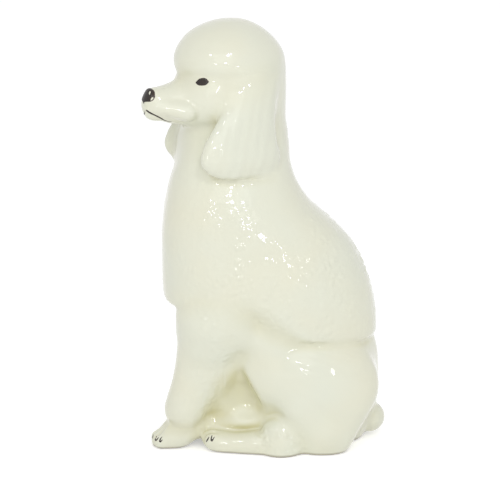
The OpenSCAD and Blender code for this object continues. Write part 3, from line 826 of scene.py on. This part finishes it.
# One closed mesh from some of the skin's faces. Behind each open rim a hidden wall goes in and meets in a
# point; where that would come out of the clay again, the patch gets an inner face like a thin cast wall.
def closePatch(name, faces):
    used, local = np.unique(faces, return_inverse=True)
    local = local.reshape(faces.shape)
    count = len(used)
    a, b = local.reshape(-1), np.roll(local, -1, 1).reshape(-1)
    rim = ~np.isin(a * count + b, b * count + a)
    a, b = a[rim], b[rim]
    outer, outward = skinPoints[used], skinNormals[used]
    inner = outer - outward * cutting["wall"]
    onRim = np.unique(np.concatenate([a, b]))
    ringA, ringB = np.searchsorted(onRim, a), np.searchsorted(onRim, b)
    loop = islands(np.zeros(len(onRim), int), np.stack([ringA, ringB], 1))
    loops = np.unique(loop)
    hubs = np.array([inner[onRim[loop == k]].mean(0) - outward[onRim[loop == k]].mean(0) for k in loops])
    at = np.searchsorted(loops, loop)
    deepest = max(skin(inner[onRim] * t + hubs[at] * (1 - t)).max() for t in (0.75, 0.5, 0.25, 0))
    if deepest < -cutting["cover"]:
        vertices = np.concatenate([outer, inner[onRim], hubs])
        walls = np.stack([b, a, count + ringA, count + ringB], 1)
        behind = np.stack([count + ringB, count + ringA, count + len(onRim) + at[ringA]], 1)
    else:
        vertices = np.concatenate([outer, inner])
        walls = np.stack([b, a, count + a, count + b], 1)
        behind = local[:, ::-1] + count
    hidden = np.zeros(len(vertices) - count)
    marks = {key: np.concatenate([values[used], hidden]) for key, values in skinMarks.items()}
    obj = addSmoothMesh(name, vertices, local.tolist() + walls.tolist() + behind.tolist(), marks)
    shown = np.concatenate([outward, np.zeros((len(hidden), 3))])
    obj.data.normals_split_custom_set_from_vertices(shown.tolist())
    return obj


def finishPiece(obj, node, material):
    obj.data.materials.append(material)
    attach(obj, "root")
    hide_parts(node)


print("castings: cutting the skin")
owner = ownFaces()
for i, node in enumerate(castings):
    piece = closePatch("glazed_" + node, quads[owner == i])
    finishPiece(piece, "torso" if node.startswith("torso") else node, ivory)
    print(" ", node, len(piece.data.polygons), "faces")


enamel = {
    "colour": "#1E1511", "roughness": 0.27, "index": 1.5,
    "streaks": {"colour": "#5A4030", "from": 0.45, "to": 0.9, "most": 0.3,
                "size": 0.9, "height": 0.02},   # mm
    "edge": {"colour": "#5A4030", "from": 0, "to": 1, "most": 1.0},
}


# Brown-black overglaze enamel, brushed on and fired: glossy, a little brown where it thins
def brushedEnamel():
    material, tree, shader = newMaterial("brushedBrownBlackEnamel", {
        "Roughness": enamel["roughness"], "IOR": enamel["index"]})
    streaks = enamel["streaks"]
    place = addNode(tree, "ShaderNodeTexCoord").outputs["Object"]
    streak = addNode(tree, "ShaderNodeTexNoise", None, {
        "Scale": scaleOf(streaks["size"]), "Detail": 2.0}, {"Vector": place}).outputs["Fac"]
    thin = addNode(tree, "ShaderNodeAttribute", {"attribute_name": "thin"}).outputs["Fac"]
    tone = layColours(tree, enamel["colour"], [(streak, streaks), (thin, enamel["edge"])])
    tree.links.new(tone, shader.inputs["Base Color"])
    bump = addNode(tree, "ShaderNodeBump", None, {"Distance": streaks["height"] * mm}, {"Height": streak})
    tree.links.new(bump.outputs["Normal"], shader.inputs["Normal"])
    return material


brownBlack = brushedEnamel()


def curveThrough(stations, samples):
    stations = np.array(stations, float)
    run = np.concatenate([[0], np.cumsum(np.sqrt((np.diff(stations[:, :3], axis=0) ** 2).sum(1)))])
    return smoothTable(np.column_stack([run, stations]).tolist(), samples)[1][:, 1:]


brush = {
    "rounds": 14, "reach": 0.2, "leastSlope": 0.1, "step": 0.9,   # how a stroke settles onto the skin
    "wrapPower": 1.6,   # how late its edges turn back round the form
    "endShare": 1 / 8,   # of its length, where it swells to its full thickness
    "sunk": 0.07, "root": 0.45,   # mm: how far its edge and its underside lie under the glaze
    "edgePower": 3,   # how close to its edge it thins to brown
}


# A brush stroke: stations are (x, y, z, half width, wrap), the wrap drawing its edges back round a curved
# form. It is laid on the skin, swells in its middle and dives under the glaze at its edge.
def stroke(stations, across, back, lift, samples, ribs):
    line = curveThrough(stations, samples)
    w = np.sin(np.linspace(-1, 1, ribs) * math.pi / 2)
    p = (line[:, None, :3] + w[None, :, None] * line[:, None, 3:4] * across[:, None]
         + (np.abs(w) ** brush["wrapPower"])[None, :, None] * line[:, None, 4:5] * np.array(back))
    p = p.reshape(-1, 3)
    for _ in range(brush["rounds"]):
        g = gradient(p, brush["reach"])
        p = p - g * (skin(p) / np.maximum((g ** 2).sum(1), brush["leastSlope"]))[:, None] * brush["step"]
    g = gradient(p)
    n = g / np.sqrt((g ** 2).sum(1))[:, None]
    rise = reliefAt(p)[0]
    along = np.linspace(0, 1, samples)
    ends = np.clip(np.minimum(along, 1 - along) / brush["endShare"], 0, 1)[:, None] ** 0.5
    swell = (np.sqrt(np.clip(1 - w ** 2, 0, 1))[None] * ends).reshape(-1)
    top = p + n * (rise - brush["sunk"] + lift * swell)[:, None]
    under = p + n * (rise - brush["root"])[:, None]
    return top, under, (1 - swell) ** brush["edgePower"], samples, ribs


def enamelPiece(name, node, strokes):
    vertices, faces, thin = [], [], []
    for top, under, edge, rows, ribs in strokes:
        size = rows * ribs
        i = np.arange(size).reshape(rows, ribs)
        cells = np.stack([k.ravel() for k in (i[:-1, :-1], i[1:, :-1], i[1:, 1:], i[:-1, 1:])], 1)
        border = np.concatenate([i[0, :], i[1:, -1], i[-1, -2::-1], i[-2:0:-1, 0]])
        after = np.roll(border, -1)
        walls = np.stack([border, after, after + size, border + size], 1)
        every = np.concatenate([cells, cells[:, ::-1] + size, walls])
        facing = np.cross(top[cells[:, 2]] - top[cells[:, 0]], top[cells[:, 3]] - top[cells[:, 1]]).sum(0)
        if facing @ (top.mean(0) - under.mean(0)) < 0:
            every = every[:, ::-1]
        faces.append(every + sum(len(v) for v in vertices))
        vertices.append(np.concatenate([top, under]))
        thin.append(np.concatenate([edge, np.ones(size)]))
    obj = addSmoothMesh(name, np.concatenate(vertices), np.concatenate(faces).tolist(), {
        "thin": np.concatenate(thin)})
    finishPiece(obj, node, brownBlack)


# The eyes and nose. Their stations are (forward, side, height, half width, wrap) on the head.
def faceStroke(shape, side):
    turned = turnZ(-head["turn"])
    placed = [(*fromHead(place, side), half, wrap) for *place, half, wrap in shape["stations"]]
    forward, across, height = shape["across"]
    way = np.array([across * side, -forward, height], float) @ turned
    back = np.array([0, 1, 0]) @ turned
    samples = shape["samples"]
    return stroke(placed, np.repeat(way[None], samples, 0), back, shape["lift"], samples, shape["ribs"])


# A fine brush line keeps square to its own path, as seen from where it was painted
def lineStroke(places, halves, seenFrom, spec):
    placed = [(*q, half, 0) for q, half in zip(places, halves)]
    along = np.gradient(curveThrough(placed, spec["samples"])[:, :3], axis=0)
    way = np.cross(along, np.array(seenFrom, float))
    way /= np.sqrt((way ** 2).sum(1))[:, None]
    return stroke(placed, way, (0, 0, 0), spec["lift"], spec["samples"], spec["ribs"])


eyes = {
    "stations": [(23.1, 10.5, 30.1, 0.15, 0), (22.4, 11.4, 30.3, 1.3, 0), (21.0, 12.9, 30.6, 1.85, 0),
                 (19.6, 14.0, 30.75, 1.5, 0), (18.6, 14.8, 30.8, 0.15, 0)],
    "across": (0, 0, 1), "lift": 0.32, "samples": 24, "ribs": 9,
}
nose = {  # half width across the tip, and how far the sides run back along the muzzle
    "stations": [(43.6, 1.1, 20.6, 0.25, 0), (43.5, 0.7, 21.4, 0.6, 0), (43.3, 0.0, 21.9, 3.3, 2.2),
                 (42.9, 0, 23.2, 4.0, 3.3), (42.4, 0, 24.7, 3.8, 3.2), (41.7, 0, 25.8, 2.9, 2.6),
                 (40.7, 0, 26.7, 1.8, 1.2), (39.6, 0, 27.1, 0.4, 0)],
    "across": (0, 1, 0), "lift": 0.3, "samples": 44, "ribs": 9,
}
mouth = {
    "near": [(43.3, 2.2, 18.6), (42.0, 2.9, 17.6), (39.7, 4.0, 16.2), (37.5, 4.3, 14.8), (35.0, 3.9, 13.1),
             (33.2, 4.2, 12.6), (31.7, 5.1, 12.5)],
    "far": [(43.3, 2.1, 18.6), (43.3, 1.4, 17.3), (42.8, 0.2, 16.3), (40.9, -3.0, 15.7), (37.5, -4.3, 14.8),
            (35.0, -3.9, 13.1), (31.7, -5.1, 12.5)],
    "halves": [0.46, 0.55, 0.52, 0.48, 0.42, 0.32, 0.1],
    "seenFrom": {"near": (1, -0.6, 0), "far": (-1, -0.6, 0)},   # in the head's frame
    "lift": 0.22, "samples": 22, "ribs": 5,
}
claws = {
    # each mark is a short line of (x, y, z) on a left paw, with its half widths
    "front": [
        ([(9.0, -51.3, 6.3), (10.0, -51.7, 5.4), (10.5, -51.8, 4.1)], [0.14, 0.29, 0.12]),
        ([(10.8, -50.2, 6.1), (12.5, -50.8, 5.3), (13.0, -50.6, 4.0)], [0.17, 0.36, 0.43]),
        ([(13.0, -50.6, 4.0), (13.4, -49.8, 5.2), (13.4, -49.1, 6.3)], [0.43, 0.35, 0.14]),
        ([(14.0, -47.6, 6.7), (14.1, -48.3, 5.3), (14.0, -48.5, 3.6)], [0.17, 0.36, 0.46]),
        ([(14.0, -48.5, 3.6), (14.3, -47.8, 4.3), (14.4, -47.1, 5.1)], [0.46, 0.35, 0.14])],
    "hind": [
        ([(18.9, -26.0, 7.5), (19.0, -26.8, 6.2), (18.5, -27.5, 4.8)], [0.17, 0.41, 0.29]),
        ([(18.9, -24.7, 8.2), (19.7, -25.2, 7.1), (20.2, -25.2, 5.6)], [0.17, 0.35, 0.46]),
        ([(20.2, -25.2, 5.6), (20.2, -24.5, 6.6), (19.6, -23.7, 7.7)], [0.46, 0.32, 0.14])],
    "seenFrom": (1, -0.7, 0.3), "lift": 0.2, "samples": 10, "ribs": 5,
}


def clawStrokes(pair, paws, name):
    side, shift = sides[name], paws["setBack"][name]
    out, ahead, up = claws["seenFrom"]
    return [lineStroke([(x * side, y + shift, z) for x, y, z in line], halves, (out * side, ahead, up), claws)
            for line, halves in claws[pair]]


print("enamel: laying the strokes")
for name, side in sides.items():
    enamelPiece("enamel_" + name + "_eye", name + "_eye", [faceStroke(eyes, side)])
enamelPiece("enamel_nose", "nose", [faceStroke(nose, 1)])
enamelPiece("enamel_mouth", "mouth_line", [
    lineStroke([fromHead(place) for place in mouth[end]], mouth["halves"],
               np.array(mouth["seenFrom"][end]) @ turnZ(-head["turn"]), mouth) for end in ("near", "far")])
for name in sides:
    for pair, paws in (("front", frontPaws), ("hind", hindPaws)):
        enamelPiece(f"enamel_{name}_{pair}_claws", f"{name}_{pair}_claws", clawStrokes(pair, paws, name))


# The way out to a place, in degrees round the figure and above the table
def wayTo(azimuth, elevation):
    a, e = math.radians(azimuth), math.radians(elevation)
    return Vector((math.sin(a) * math.cos(e), -math.cos(a) * math.cos(e), math.sin(e)))


# As the photograph was taken. Degrees; distance and target in metres; sensor and lens in mm.
camera = {"azimuth": 85, "elevation": 15, "distance": 1.0, "target": (0, -0.0059, 0.0895),
          "sensor": 36, "lens": 159.12}


def placeCamera():
    data = bpy.data.cameras.new("camera")
    data.sensor_width, data.lens = camera["sensor"], camera["lens"]
    obj = addObject("camera", data)
    a = math.radians(camera["azimuth"])
    back = wayTo(camera["azimuth"], camera["elevation"])
    right = Vector((math.cos(a), math.sin(a), 0))
    place = Matrix((right, back.cross(right), back)).transposed().to_4x4()
    place.translation = Vector(camera["target"]) + back * camera["distance"]
    obj.matrix_world = place
    bpy.context.scene.camera = obj


# 1 for what the camera sees directly, in a reflection or through glass
def seenDirectly(tree):
    path = addNode(tree, "ShaderNodeLightPath")
    either = addNode(tree, "ShaderNodeMath", {"operation": "MAXIMUM"}, None, {
        0: path.outputs["Is Camera Ray"], 1: path.outputs["Is Glossy Ray"]})
    return addNode(tree, "ShaderNodeMath", {"operation": "MAXIMUM"}, None, {
        0: either.outputs["Value"], 1: path.outputs["Is Transmission Ray"]}).outputs["Value"]


studio = {"white": "#FFFFFF", "ambient": 0.65, "background": 1.0}


# Even soft light all round, with the background seen at full white
def lightWorld():
    world = bpy.data.worlds.new("studio")
    bpy.context.scene.world = world
    world.use_nodes = True
    tree = world.node_tree
    soft = tree.nodes["Background"]
    soft.inputs["Color"].default_value = linear(studio["white"])
    soft.inputs["Strength"].default_value = studio["ambient"]
    white = addNode(tree, "ShaderNodeBackground", None, {
        "Color": linear(studio["white"]), "Strength": studio["background"]})
    mixed = addNode(tree, "ShaderNodeMixShader", None, None, {
        0: seenDirectly(tree), 1: soft.outputs["Background"], 2: white.outputs["Background"]})
    tree.links.new(mixed.outputs["Shader"], tree.nodes["World Output"].inputs["Surface"])
    bpy.context.scene.view_settings.view_transform = "Standard"


sweep = {"colour": "#F7F7F7", "roughness": 0.9, "shine": 0.1, "glow": 0.41, "reach": 4}   # reach in metres


# Matt white paper under the figure: no shine, and bright enough to run into the background
def layPaper():
    material, tree, shader = newMaterial("whitePaperSweep", {
        "Base Color": linear(sweep["colour"]), "Roughness": sweep["roughness"],
        "Specular IOR Level": sweep["shine"], "Emission Color": linear(studio["white"])})
    glow = addNode(tree, "ShaderNodeMath", {"operation": "MULTIPLY"}, {1: sweep["glow"]}, {
        0: seenDirectly(tree)})
    tree.links.new(glow.outputs["Value"], shader.inputs["Emission Strength"])
    mesh = bpy.data.meshes.new("floor")
    s = sweep["reach"]
    mesh.from_pydata([(-s, -s, 0), (s, -s, 0), (s, s, 0), (-s, s, 0)], [], [(0, 1, 2, 3)])
    mesh.materials.append(material)
    addObject("floor", mesh)


lamps = {
    # azimuth, elevation, distance and width in metres, watts
    "frontSheet": (85, 26, 2.0, 1.2, 3.4),
    "highRightSoftbox": (97, 40, 1.0, 0.10, 0.8), "lowRightSoftbox": (90, 16, 1.0, 0.07, 0.36),
    "highLeftSoftbox": (58, 38, 1.0, 0.08, 0.45), "lowLeftSoftbox": (70, 7, 1.0, 0.07, 0.36),
    "sideStrip": (96, 6, 1.0, 0.04, 0.14), "rearStrip": (107, 3, 1.0, 0.05, 0.16),
}
lampTarget = (0, 0, 0.09)   # metres: the middle of the figure


def hangLamps():
    for name, (azimuth, elevation, distance, width, watts) in lamps.items():
        data = bpy.data.lights.new(name, "AREA")
        data.size, data.energy = width, watts
        lamp = addObject(name, data)
        way = wayTo(azimuth, elevation)
        lamp.location = way * distance + Vector(lampTarget)
        lamp.rotation_mode = "QUATERNION"
        lamp.rotation_quaternion = way.to_track_quat("Z", "Y")


print("studio: camera, paper and lamps")
placeCamera()
lightWorld()
layPaper()
hangLamps()
